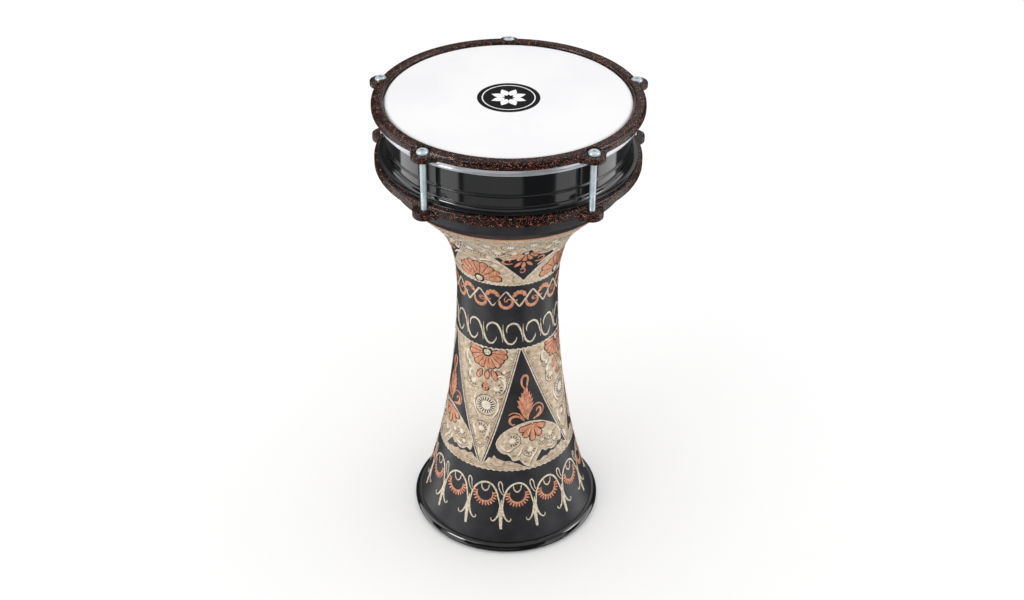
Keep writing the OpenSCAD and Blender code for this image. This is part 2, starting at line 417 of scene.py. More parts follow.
def cast(name, node, material, body, slot, voxel=0.55, passes=6):
    """A cast and enamelled copy of a CAD node: its edges and inner corners flow together."""
    mesh = NODES[node].data.copy()
    obj = bpy.data.objects.new(name, mesh)
    bpy.context.scene.collection.objects.link(obj)
    mesh.materials.clear()
    mesh.materials.append(MATS[material])
    weld = obj.modifiers.new("weld", "WELD")
    weld.merge_threshold = 1e-6
    remesh = obj.modifiers.new("remesh", "REMESH")
    remesh.mode = "VOXEL"
    remesh.voxel_size = voxel * MM
    remesh.use_smooth_shade = True
    relax = obj.modifiers.new("relax", "SMOOTH")
    relax.factor = 0.5
    relax.iterations = passes
    shaped = bpy.data.meshes.new_from_object(obj.evaluated_get(bpy.context.evaluated_depsgraph_get()))
    obj.modifiers.clear()
    obj.data = shaped
    normals = [v.normal.copy() for v in shaped.vertices]
    for v, normal in zip(shaped.vertices, normals):
        v.co += normal * ((noise.noise(v.co * 620) - 1) * 0.04 * MM)
    return install(obj, body, slot, node)


# ---------------------------------------------------------------- the shell's surface

def shell_profile():
    """Outer outline of the shell, foot to rim, as arc length, radius and height in millimetres."""
    outline, _ = section_of("body_shell")
    points = [(r / MM, z / MM) for r, z in outline]
    foot = max(range(len(points)), key=lambda i: (points[i][1] < 20) * points[i][0])
    ahead = points[(foot + 1) % len(points)]
    if ahead[0] < points[foot - 1][0] and ahead[1] < 20:
        points = points[::-1]
        foot = len(points) - 1 - foot
    ordered = points[foot:] + points[:foot]
    if ordered[1][1] < ordered[0][1]:
        ordered = [ordered[0]] + ordered[:0:-1]
    top = max(range(len(ordered)), key=lambda i: (ordered[i][1] > 360) * (ordered[i][0] + i * 1e-6))
    outer = ordered[:top + 1]
    start = next(i for i, p in enumerate(outer) if p[1] > 6.5)
    lengths = [0.0]
    for i in range(start + 1, len(outer)):
        lengths.append(lengths[-1] + dist(outer[i - 1], outer[i]))
    outer = outer[start:]
    return lengths, [p[0] for p in outer], [p[1] for p in outer]


LENGTHS, RADII, HEIGHTS = shell_profile()


def on_profile(length):
    """Radius, height and slope of the shell at an arc length from the foot, all in millimetres."""
    i = min(max(bisect.bisect_right(LENGTHS, length) - 1, 0), len(LENGTHS) - 2)
    span = LENGTHS[i + 1] - LENGTHS[i]
    t = (length - LENGTHS[i]) / span
    r = RADII[i] + t * (RADII[i + 1] - RADII[i])
    z = HEIGHTS[i] + t * (HEIGHTS[i + 1] - HEIGHTS[i])
    return r, z, (RADII[i + 1] - RADII[i]) / span, (HEIGHTS[i + 1] - HEIGHTS[i]) / span


def on_shell(degrees, length, lift):
    """A point on the shell in metres: degrees from the front, arc length up, height above the surface."""
    r, z, dr, dz = on_profile(length)
    r += lift * dz
    z -= lift * dr
    a = radians(degrees)
    return (r * sin(a) * MM, -r * cos(a) * MM, z * MM)


def spot(degrees, length=0.0):
    """A drawing frame on the shell: maps (right, up) in millimetres to (degrees, length)."""
    def place(u, v):
        up = length + v
        return degrees + math.degrees(u / on_profile(up)[0]), up
    return place


def polar(points, degrees=0.0):
    """Turns (degrees, length) points into (right, up) about the frame spot(degrees, 0)."""
    return [(radians(a - degrees) * on_profile(l)[0], l) for a, l in points]


# ---------------------------------------------------------------- drawing on the shell

SINK = 0.12  # how deep every relief reaches into the shell, in millimetres
PROFILE = ((1, -1), (0.8, 0.7), (0, 1), (-0.8, 0.7), (-1, -1))  # across a line: offset and part of its height


def curve(points, per=6):
    """A Catmull-Rom curve through the points."""
    out = []
    n = len(points)
    for i in range(n - 1):
        p = [points[min(max(i + k, 0), n - 1)] for k in (-1, 0, 1, 2)]
        for j in range(per):
            t = j / per
            out.append(tuple(
                0.5 * (2 * p[1][d] + (p[2][d] - p[0][d]) * t
                       + (2 * p[0][d] - 5 * p[1][d] + 4 * p[2][d] - p[3][d]) * t * t
                       + (3 * p[1][d] - p[0][d] - 3 * p[2][d] + p[3][d]) * t ** 3) for d in (0, 1)))
    return out + [points[-1]]


def to_segment(p, a, b):
    """Distance from a point to a segment."""
    dx, dy = b[0] - a[0], b[1] - a[1]
    t = ((p[0] - a[0]) * dx + (p[1] - a[1]) * dy) / max(dx * dx + dy * dy, 1e-12)
    t = min(1, max(0, t))
    return math.hypot(p[0] - a[0] - t * dx, p[1] - a[1] - t * dy)


def inside(p, outline):
    """True when a point lies in a closed outline."""
    hit = False
    for (x0, y0), (x1, y1) in zip(outline, outline[1:] + outline[:1]):
        if (y0 > p[1]) != (y1 > p[1]) and p[0] < (x1 - x0) * (p[1] - y0) / (y1 - y0) + x0:
            hit = not hit
    return hit


class Relief:
    """Raised shapes of one metal on the shell, gathered into one mesh of closed solids."""

    def __init__(self, material):
        self.material = material
        self.verts = []
        self.faces = []

    def fill(self, outline, place, top, dome=0.0, grid=1.4, bevel=0.05):
        """A filled outline: its top stands at `top`, rising by `dome` in the middle."""
        edge = []
        for a, b in zip(outline, outline[1:] + outline[:1]):
            n = max(1, int(dist(a, b) / grid))
            edge += [(a[0] + (b[0] - a[0]) * k / n, a[1] + (b[1] - a[1]) * k / n) for k in range(n)]
        lo = [min(p[d] for p in edge) for d in (0, 1)]
        hi = [max(p[d] for p in edge) for d in (0, 1)]
        inner = []
        row_h = grid * 0.87
        for j in range(int((hi[1] - lo[1]) / row_h) + 1):
            y = lo[1] + (j + 0.5) * row_h
            for i in range(int((hi[0] - lo[0]) / grid) + 2):
                p = (lo[0] + (i + 0.5 * (j % 2)) * grid, y)
                if inside(p, edge):
                    gap = min(to_segment(p, a, b) for a, b in zip(edge, edge[1:] + edge[:1])) \
                        if (dome or len(edge) < 400) else grid
                    if gap > grid * 0.35:
                        inner.append((p, gap))
        widest = max([g for _, g in inner], default=grid)
        points = [Vector(p) for p in edge] + [Vector(p) for p, _ in inner]
        loop = list(range(len(edge)))
        verts, _, faces, *_ = delaunay_2d_cdt(points, [], [loop], 1, 1e-5)
        rise = {(round(p[0], 3), round(p[1], 3)): g for p, g in inner}
        base = len(self.verts)
        n = len(verts)
        for v in verts:
            gap = rise.get((round(v[0], 3), round(v[1], 3)), 0.0)
            lift = top - bevel if gap == 0 else top + dome * sin(min(1, gap / widest) * pi / 2)
            self.verts.append(on_shell(*place(v[0], v[1]), lift))
        for v in verts:
            self.verts.append(on_shell(*place(v[0], v[1]), -SINK))
        count = {}
        for f in faces:
            a, b, c = (verts[i] for i in f)
            f = list(f)
            if (b[0] - a[0]) * (c[1] - a[1]) - (b[1] - a[1]) * (c[0] - a[0]) < 0:
                f.reverse()
            self.faces.append([base + i for i in f])
            self.faces.append([base + n + i for i in reversed(f)])
            for i in range(3):
                count[(f[i], f[(i + 1) % 3])] = True
        for a, b in list(count):
            if (b, a) not in count:
                self.faces.append([base + b, base + a, base + n + a, base + n + b])

    def walls(self, base, count, size, closed):
        """Side faces between stacked outlines of size points each."""
        for i in range(count if closed else count - 1):
            j = (i + 1) % count
            for k in range(size):
                m = (k + 1) % size
                here, there = base + size * i, base + size * j
                self.faces.append([here + m, there + m, there + k, here + k])

    def stroke(self, path, place, width, top, closed=False, ends=(0.35, 0.35)):
        """A graver line along a path: rounded on top, narrowing at its ends."""
        n = len(path)
        base = len(self.verts)
        total = sum(dist(a, b) for a, b in zip(path, path[1:]))
        run = 0.0
        for i, p in enumerate(path):
            if i:
                run += dist(path[i - 1], p)
            a = path[i - 1] if closed or i else path[0]
            b = path[(i + 1) % n] if closed or i < n - 1 else path[-1]
            d = dist(a, b) or 1.0
            side = (-(b[1] - a[1]) / d, (b[0] - a[0]) / d)
            w = width(run / total) if callable(width) else width
            if not closed:
                w *= min(1, ends[0] + run / w / 0.8) * min(1, ends[1] + (total - run) / w / 0.8)
            for off, h in PROFILE:
                q = (p[0] + side[0] * w / 2 * off, p[1] + side[1] * w / 2 * off)
                self.verts.append(on_shell(*place(*q), h * top if h > 0 else -SINK))
        self.walls(base, n, 5, closed)
        if not closed:
            self.faces.append([base + k for k in range(5)])
            self.faces.append([base + 5 * (n - 1) + k for k in range(4, -1, -1)])

    def band(self, low, high, top, rows, columns=360):
        """A strip all the way round, between two heights given as functions of the angle."""
        base = len(self.verts)
        for k in range(columns):
            a = 360 * k / columns
            for j in range(rows + 1):
                length = low(a) + (high(a) - low(a)) * j / rows
                edge = j in (0, rows)
                self.verts.append(on_shell(a, length, top - (0.05 if edge else 0)))
            self.verts.append(on_shell(a, high(a), -SINK))
            self.verts.append(on_shell(a, low(a), -SINK))
        size = rows + 3
        for k in range(columns):
            m = (k + 1) % columns
            for j in range(size):
                i = (j + 1) % size
                self.faces.append([base + k * size + j, base + m * size + j,
                                   base + m * size + i, base + k * size + i])

    def ring(self, height, width, top, steps=360):
        """A closed line round the shell at a height given as a function of the angle."""
        base = len(self.verts)
        place = spot(0)
        for u, v in polar([(360 * k / steps, height(360 * k / steps)) for k in range(steps)]):
            for off, h in PROFILE:
                self.verts.append(on_shell(*place(u, v + off * width / 2), h * top if h > 0 else -SINK))
        self.walls(base, steps, 5, True)

    def make(self, name):
        obj = piece(name, self.verts, self.faces, self.material)
        sharpen(obj, 50)
        return install(obj, "shell", "engraved_copper")


# ---------------------------------------------------------------- the turned and cast parts

def shell_body():
    """The spun copper goblet, with both walls as smooth curves."""
    obj = revolved("spun_shell", "body_shell", "lacquer", 0.3, 288)
    install(obj, "shell", "engraved_copper", "body_shell")


def hexagon(across_flats, corner=99.0):
    """Radius of a hexagon at an angle, cut back to a corner radius."""
    def radius(a):
        off = (a + pi / 6) % (pi / 3) - pi / 6
        return min(corner, across_flats / 2 / cos(off))
    return radius


PITCH = 0.8
BOLT_R = 2.5
THREAD_R = 2.45
HEAD_R = 4.75
HEAD_H = 2.75
SOCKET_AF = 3.0
SOCKET_DEEP = 1.6
THREAD_LEN = 22.0


def thread_row(z, foot):
    """One ring of the screw thread: a V groove that climbs one pitch each turn and fades out at both ends."""
    def radius(a):
        phase = ((z - foot) / PITCH - a / (2 * pi)) % 1.0
        depth = 0.42 * abs(2 * phase - 1)
        fade = min(1, (z - foot) / 1.0, (foot + THREAD_LEN - z) / 0.8)
        return THREAD_R - depth * max(0, fade)
    return radius


def bolt(i):
    """A zinc button-head bolt with a hex socket and a cut thread."""
    node = f"tension_bolt_{i}"
    low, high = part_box(node)
    foot, top = low[2] / MM, high[2] / MM
    seat = top - HEAD_H
    rows = [(None, foot), (THREAD_R - 0.6, foot), (THREAD_R - 0.05, foot + 0.5)]
    count = int((THREAD_LEN - 0.7) / (PITCH / 6))
    rows += [(thread_row(foot + 0.6 + k * PITCH / 6, foot), foot + 0.6 + k * PITCH / 6) for k in range(count)]
    rows += [(THREAD_R, foot + THREAD_LEN), (BOLT_R, foot + THREAD_LEN + 0.25), (BOLT_R, seat - 0.2)]
    rows += [(BOLT_R + 0.05, seat), (HEAD_R - 0.15, seat), (HEAD_R, seat + 0.15), (HEAD_R, seat + 0.7)]
    last = radians(78)
    for k in range(1, 7):
        a = radians(78 * k / 6)
        rise = (HEAD_H - 0.7) * sin(a) / sin(last)
        rows.append((2.2 + (HEAD_R - 2.2) * cos(a), seat + 0.7 + rise))
    rows += [(hexagon(SOCKET_AF + 0.5), top), (hexagon(SOCKET_AF), top - 0.25),
             (hexagon(SOCKET_AF), top - SOCKET_DEEP), (None, top - SOCKET_DEEP - 0.35)]
    obj = lathe(f"socket_bolt_{i}", rows, "zinc", 36, MM, 40)
    centre = ((low[0] + high[0]) / 2, (low[1] + high[1]) / 2, 0)
    obj.data.transform(turned_about(centre, 17 * i))
    install(obj, f"bolt_{i}", "zinc_steel", node)


def turned_about(centre, degrees):
    """Turns a piece made at the origin and moves it to a place."""
    return Matrix.Translation(centre) @ Matrix.Rotation(radians(degrees), 4, "Z")


def nut(i):
    """A chamfered hex nut in the pocket under the lower ring's ear, turned as its CAD solid is."""
    node = f"hex_nut_{i}"
    low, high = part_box(node)
    z0, z1 = low[2] / MM, high[2] / MM
    centre = Vector(((low[0] + high[0]) / 2, (low[1] + high[1]) / 2, 0))
    far = max((v.co.xy - centre.xy for v in NODES[node].data.vertices), key=lambda d: d.length)
    flats = far.length / MM * math.sqrt(3)
    hexa, bore = hexagon(flats), THREAD_R + 0.03
    rows = [(bore + 0.35, z0), (hexagon(flats, flats * 0.5), z0), (hexa, z0 + 0.35), (hexa, z1 - 0.35),
            (hexagon(flats, flats * 0.5), z1), (bore + 0.35, z1), (bore, z1 - 0.3), (bore, z0 + 0.3)]
    obj = lathe(f"chamfered_nut_{i}", rows, "zinc", 48, MM, 40)
    obj.data.transform(turned_about(centre, math.degrees(math.atan2(far.y, far.x)) - 30))
    install(obj, "shell", "zinc_steel", node)


def patch_print():
    """A generic printed mark on the patch: a plain ring round an eight-petal rosette."""
    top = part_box("head_patch")[1][2] / MM
    thick = 0.05
    ring = [(20.4, top), (21.3, top), (21.3, top + thick), (20.4, top + thick)]
    install(lathe("patch_ring", ring, "white_ink", 96, MM), "head", "patch_print")
    verts, faces = [], []
    for k in range(8):
        turn = radians(45 * k + 22.5)
        steps = (0.12, 0.3, 0.5, 0.7, 0.88)
        outline = [(3.4, 0)] + [(3.4 + 11.2 * t, 3.3 * sin(pi * t ** 0.8)) for t in steps]
        outline += [(14.6, 0)] + [(x, -y) for x, y in outline[:0:-1]]
        base = len(verts)
        n = len(outline)
        for z in (top, top + thick):
            for x, y in outline:
                verts.append(((x * cos(turn) - y * sin(turn)) * MM,
                              (x * sin(turn) + y * cos(turn)) * MM, z * MM))
        faces.append([base + j for j in range(n)])
        faces.append([base + n + j for j in range(n - 1, -1, -1)])
        faces += [[base + (j + 1) % n, base + j, base + n + j, base + n + (j + 1) % n] for j in range(n)]
    install(piece("patch_rosette", verts, faces, "white_ink", smooth=False), "head", "patch_print")


# ---------------------------------------------------------------- ornament

BANDS = {}


def metal(band, material):
    """The relief that holds one metal of one band of ornament."""
    return BANDS.setdefault((band, material), Relief(material))


CLOUD_TOP = 0.24
NEST = {"ground": 0.10, "dark": 0.15, "silver": 0.24, "copper": 0.26, "line": 0.34}


def wave(degrees, count, size):
    return size * cos(radians(degrees * count))


def petal(length, width, lift=0):
    """A round-ended petal that points up, as an outline from its base."""
    half = [(0.10, 0.04), (0.20, 0.22), (0.33, 0.48), (0.48, 0.76), (0.42, 0.92), (0.22, 0.99)]
    right = [(x * width, lift + y * length) for x, y in half]
    return right + [(0, lift + length)] + [(-x, y) for x, y in right[::-1]]


def leaf(length, width):
    """A pointed leaf that points up, as an outline from its base."""
    half = [(0.12, 0.02), (0.36, 0.25), (0.5, 0.5), (0.36, 0.78), (0.12, 0.95)]
    right = [(x * width, y * length) for x, y in half]
    return right + [(0, length)] + [(-x, y) for x, y in right[::-1]]


def grown(outline, by):
    """The outline pushed outwards by a distance."""
    out = []
    n = len(outline)
    area = sum(a[0] * b[1] - b[0] * a[1] for a, b in zip(outline, outline[1:] + outline[:1]))
    side = 1 if area > 0 else -1
    for i, p in enumerate(outline):
        a, b = outline[i - 1], outline[(i + 1) % n]
        d = dist(a, b) or 1
        out.append((p[0] + side * by * (b[1] - a[1]) / d, p[1] - side * by * (b[0] - a[0]) / d))
    return out


def turn_points(points, degrees, move=(0, 0)):
    c, s = cos(radians(degrees)), sin(radians(degrees))
    return [(x * c - y * s + move[0], x * s + y * c + move[1]) for x, y in points]


def disc(radius, steps=16):
    return [(radius * cos(2 * pi * k / steps), radius * sin(2 * pi * k / steps))
            for k in range(steps)]


def inlay(band, shape, place, shadow, low, top, dome):
    """A domed copper shape over its own dark shadow."""
    metal(band, "dark").fill(grown(shape, shadow), place, low, grid=2.5)
    metal(band, "copper").fill(shape, place, top, dome, grid=1.1)


def daisy(band, place, start, end, count, inner, outer, width):
    """A half daisy of copper petals over a dark shadow, round a bright boss in a dark ring."""
    dark = metal(band, "dark")
    step = (end - start) / (count - 1)
    for k in range(count):
        angle = start + (end - start) * k / (count - 1)
        length = (outer - inner) * (1.0 if k % 2 else 0.93)
        petal_here = turn_points(petal(length, width, inner), angle)
        inlay(band, petal_here, place, 1.05, NEST["dark"], NEST["copper"], 0.16)
        if k:
            # Painted shade: dark strokes down the gaps between the petals.
            gap = turn_points([(0, inner + length * t) for t in (0.1, 0.5, 0.92)], angle - step / 2)
            dark.stroke(gap, place, 0.8, NEST["copper"] + 0.2)
    dark.fill(disc(inner + 0.9), place, NEST["copper"] + 0.05, grid=2.5)
    metal(band, "line").fill(disc(inner * 0.8), place, NEST["line"], 0.3, grid=0.9)


def rosette(band, place, radius, start=0, end=360, base=0.1):
    """Chased rosette: a raised boss and collar with a ring of punched dashes between them."""
    silver, dark, line = (metal(band, m) for m in ("silver", "dark", "line"))
    whole = end - start == 360
    count = max(5, int(abs(end - start) / 360 * radius * 2.5))
    if whole:
        silver.fill(disc(radius * 0.98, 20), place, base + 0.05, grid=2)
    for k in range(count):
        a = radians(start + (end - start) * k / (count - (not whole)))
        ray = [(radius * t * cos(a), radius * t * sin(a)) for t in (0.54, 0.76, 1)]
        dark.stroke(ray, place, radius * 0.15 + 0.28, base + 0.16, ends=(0.6, 0.6))
    silver.fill(disc(radius * 0.46, 14), place, base + 0.12, 0.45, grid=1)
    arc = [(radius * 1.15 * cos(radians(a)), radius * 1.15 * sin(radians(a)))
           for a in range(int(start) - 12, int(end) + 13, 12)]
    line.stroke(arc, place, swell(0.5, radius * 0.2), base + 0.24)
    # Painted shade: a dark line just outside the bright collar arc.
    dark.stroke([(x * 1.14, y * 1.14) for x, y in arc], place, swell(0.25, 0.8), base + 0.1)


def rosettes(band, mid, rows, base=0.1):
    """Rosettes at (right, up, radius) about an angle; two more numbers make it a part of a circle."""
    for u, v, *shape in rows:
        rosette(band, spot(mid + math.degrees(u / on_profile(v)[0]), v), *shape, base=base)


def curls(band, place, paths, width, top, shadow, low):
    """Raised silver curls, each with a painted shadow: a dark stroke shifted down beside it; shadow gives its
    stretch and offset.
    """
    stretch, right, down = shadow
    for points in paths:
        metal(band, "silver").stroke(curve(points), place, width, top)
        # Painted shadow: the curl's path, shifted down, drawn in the dark metal.
        cut = [(x * stretch + right, y - down) for x, y in points]
        metal(band, "dark").stroke(curve(cut), place, swell(0.3, low[0]), low[1])


def swell(thin, thick):
    """Stroke width that swells from thin at both ends to thick in the middle."""
    return lambda t: thin + (thick - thin) * sin(pi * t)


# Arc lengths up the shell, in millimetres from the foot
ARCH_ROW = 40.0
BASE_EDGE = 71.0
FIELD_LOW = 76.0
FIELD_HIGH = 192.0
WAVE_LINE = 192.6
SCROLL_ROW = 208.5
ZIG_LOW = 236.0
ZIG_HIGH = 251.0
UPPER_EDGE = 258.2
UPPER_APEX = 262.0
UPPER_HIGH = 331.0
SILVER_LINE = 332.5
COPPER_LINE = 342.0

# Angles, in degrees from the front
ARCHES = 14
ARCH_AT = 9.1
TRIANGLE_AT = 22.5
APEX_AT = 15.5
SCROLLS = 16
SCROLL_AT = 6.5
ZIGS = 12
ZIG_AT = -1.5
UPPER_AT = 16.8
DAISY_AT = -22.0
UPPER_DAISY_AT = -30.5


def border_lines():
    """Wavy and plain lines that part the bands."""
    line = metal("borders", "line")
    line.ring(lambda a: WAVE_LINE + wave(a, 60, 0.35), 1.5, 0.34, 720)
    line.ring(lambda a: UPPER_EDGE + wave(a, 72, 0.3) + wave(a, 4, 0.2), 1.5, 0.34, 720)
    line.ring(lambda a: SILVER_LINE, 1.3, 0.3)
    metal("borders", "copper").ring(lambda a: COPPER_LINE, 2.2, 0.3)
    metal("borders", "ground").band(lambda a: SILVER_LINE + 0.9, lambda a: COPPER_LINE - 1.6, 0.07, 4)


def arch_band():
    """Fourteen arches on three-toed stems, each over a copper sunburst."""
    line, copper = metal("arches", "line"), metal("arches", "copper")
    step = 360 / ARCHES
    for k in range(ARCHES):
        at = spot(ARCH_AT + step * k, ARCH_ROW)
        arch = curve([(-14.6, -9), (-13.6, -2), (-12.2, 6), (-9, 13), (-4.5, 17.4), (0.8, 19),
                            (5.6, 17.2), (9.4, 12.4), (12, 5.5), (13.8, -1.5), (15, -7)])
        line.stroke(arch, at, swell(1, 1.9), 0.3)
        cup = curve([(-3.6, 17.2), (-3.2, 13), (-0.4, 10.2), (2.6, 12.6), (3.4, 16.8)])
        line.stroke(cup, at, swell(0.7, 1.3), 0.28)
        count = 16
        ring = []
        for j in range(count):
            a = radians(-205 + 230 * j / (count - 1))
            inner = (7.4 * cos(a) - 0.2, 7.6 * sin(a) + 7.2)
            outer = (11.3 * cos(a) - 0.2, 12.0 * sin(a) + 7.6)
            if 0 < j < count - 1:
                copper.stroke([inner, ((inner[0] + outer[0]) / 2, (inner[1] + outer[1]) / 2), outer], at,
                              1.75, 0.34, ends=(0.8, 0.7))
            ring.append((inner[0] * 0.99, inner[1]))
        copper.stroke(ring, at, swell(0.8, 2), 0.3)
        stem = spot(ARCH_AT - step / 2 + step * k, ARCH_ROW)
        line.stroke([(0.2, 3), (0, -3), (-0.2, -10), (-0.1, -18), (0.3, -25.6)], stem,
                    lambda t: 2.0 + 1.6 * sin(pi * min(1, t * 1.5) * 0.75), 0.36, ends=(0.3, 0.75))
        for side in (-1, 1):
            toe = curve([(side * 0.5, -4), (side * 1.7, -10), (side * 4.2, -15.6), (side * 7, -18.2),
                               (side * 9, -16.8), (side * 8.6, -15)])
            line.stroke(toe, stem, lambda t: 2.8 - 2.0 * t, 0.3)
        bud = curve([(2.6, 7), (0.2, 9.5), (-2, 14), (-2.6, 18.5), (-1.2, 20.6), (0.6, 18.2), (1.2, 13.5),
                           (2.2, 9.8)])
        line.stroke(bud, stem, swell(0.6, 1.2), 0.28)


def triangle_edge(k, side, length):
    """Angle of one side of an upright black triangle at a height."""
    t = (FIELD_HIGH - length) / (FIELD_HIGH - FIELD_LOW)
    corner = TRIANGLE_AT + side * 43.5
    return APEX_AT + side * 1.0 + (corner - APEX_AT - side * 1) * t ** 0.97 + 90 * k


def main_fields():
    """Silver fields between the black triangles, and the combed band under them."""
    ground, line = metal("main", "ground"), metal("main", "line")
    heights = [FIELD_LOW + (FIELD_HIGH - FIELD_LOW) * j / 12 for j in range(13)]
    for k in range(4):
        mid = DAISY_AT + 90 * k
        left = [(triangle_edge(k - 1, 1, h) + 1.5, h) for h in heights]
        right = [(triangle_edge(k, -1, h) - 1.5, h) for h in heights]
        left = [(min(a, mid), h) for a, h in left]
        right = [(max(a, mid + 0.01), h) for a, h in right]
        keep = [j for j, h in enumerate(heights) if right[j][0] - left[j][0] > 0.4]
        outline = [left[j] for j in keep] + [right[j] for j in keep[::-1]]
        ground.fill(polar(outline, mid), spot(mid), NEST["ground"], grid=2.6)
        for side, owner in ((1, k - 1), (-1, k)):
            for shift, width in ((0, 1.3), (1.75, 0.45)):
                aside = side * shift * 60
                edge = [(triangle_edge(owner, side, h) + aside / on_profile(h)[0], h) for h in heights]
                line.stroke(polar(edge, mid), spot(mid), width, 0.32, ends=(0.9, 0.9))
            for row, gap in ((2.7, 1.5), (3.7, 2.1), (5, 3)):
                height = FIELD_LOW + 14 + row
                while height < FIELD_HIGH - 2:
                    a = triangle_edge(owner, side, height) + side * math.degrees(row / on_profile(height)[0])
                    dot = polar([(a, height - 0.35), (a, height), (a, height + 0.35)], mid)
                    metal("main", "dark").stroke(dot, spot(mid), 0.7, NEST["ground"] + 0.04, ends=(0.8, 0.8))
                    height += gap
    base = [(-44, 77), (-41, 80), (-38.5, 84), (-36, 83), (-34, 86.5), (-31.5, 83.5), (-28, 82.5), (-24, 81),
            (-20, 81.5), (-16, 79.5), (-12, 78), (-8, 75.5), (-3.5, 73.5), (1, 75), (4, 77.5), (8, 77),
            (12, 79.5),
            (16, 79), (20, 81.5), (24, 80.5), (28, 83), (32, 82), (36, 84), (39, 81), (42, 79.5), (45.5, 77)]
    at_radius = on_profile(80)[0]
    turn = [(math.degrees(u / at_radius), l) for u, l in base]
    xs = [a for a, _ in turn]
    full = 45.0

    def top_edge(a):
        a = (a - TRIANGLE_AT + full) % 90 - full
        a = min(max(a, xs[0]), xs[-1])
        i = min(max(bisect.bisect_right(xs, a) - 1, 0), len(xs) - 2)
        t = (a - xs[i]) / (xs[i + 1] - xs[i])
        return turn[i][1] + t * (turn[i + 1][1] - turn[i][1])

    def scallop(a):
        return BASE_EDGE + 0.95 * abs(sin(radians(a * 36)))

    ground.band(scallop, top_edge, NEST["ground"], 5, 1080)
    line.ring(lambda a: scallop(a) + 0.3, 0.9, 0.26, 1080)
    for j, height in enumerate((73, 74.6, 76.2, 77.9)):
        for k in range(4):
            reach = (38, 36, 33, 29)[j]
            for lo, hi in ((-43, -43 + reach), (44 - reach, 44)):
                arc = [(TRIANGLE_AT + 90 * k + lo + (hi - lo) * t / 12, height + 0.5 * sin(t * 0.7 + j))
                       for t in range(13)]
                metal("main", "dark").stroke(polar(arc, TRIANGLE_AT + 90 * k), spot(TRIANGLE_AT + 90 * k, 0),
                                             0.42, NEST["ground"] + 0.05)


def main_flowers():
    """The half daisy, pendant leaves and rosettes on each silver field."""
    copper, dark = metal("main", "copper"), metal("main", "dark")
    for k in range(4):
        at = spot(DAISY_AT + 90 * k, 188.5)
        daisy("main", at, 84, 276, 11, 3.8, 17.5, 5.2)
        for angle, length, width, x, y in ((158, 10.5, 4.4, -4.6, -18.5), (182, 8, 4.4, 0.3, -19),
                                           (204, 11.5, 4.2, 4.6, -17.5), (226, 8, 3.2, 8.6, -18)):
            shape = turn_points(leaf(length, width), angle, (x, y))
            inlay("main", shape, at, 0.8, NEST["dark"], NEST["copper"], 0.15)
        drop = turn_points(petal(11.5, 4.6), 180, (-0.5, -27))
        dark.fill(turn_points(disc(4.1), 0, (-0.4, -35.2)), at, NEST["dark"], grid=2.5)
        copper.fill(drop, at, NEST["copper"] + 0.02, 0.18, grid=1.1)
        dark.fill(turn_points(disc(0.7, 8), 0, (-0.5, -36.6)), at, NEST["copper"] + 0.24, grid=2)
        rosettes("main", DAISY_AT + 90 * k,
                 ((0.8, 135, 7.8), (9.4, 153, 5.4, -95, 60), (-12.4, 156, 5.2, 150, 300),
                  (-2.4, 111, 5.4, -100, 120),
                  (-16.8, 171, 3.6, 120, 280), (15.2, 170, 3.4, 190, 340), (-3, 96, 3.1, 180, 360)))
        curls("main", at, (
            [(9.5, -24), (12, -22.5), (15, -23.5), (17, -27)],
            [(-18.5, -4), (-21, -8), (-20.5, -13), (-17, -16)],
            [(-13.5, -20), (-16, -23), (-17, -27), (-16.4, -31)],
            [(13, -25), (15.5, -28), (16.5, -33), (15, -38)],
            [(-9.5, -44), (-10.8, -51), (-9.5, -58), (-5.5, -65)],
            [(10, -45), (11.6, -52), (10.4, -59), (7, -65)],
            [(-8, -71), (-9.5, -78), (-7, -87)], [(4.8, -72), (4, -80), (1, -88)],
            [(-4, -97), (-3.2, -101), (-3, -105)]), swell(0.8, 2.6), 0.42, (1.08, 0, 1.2), (0.9, 0.2))


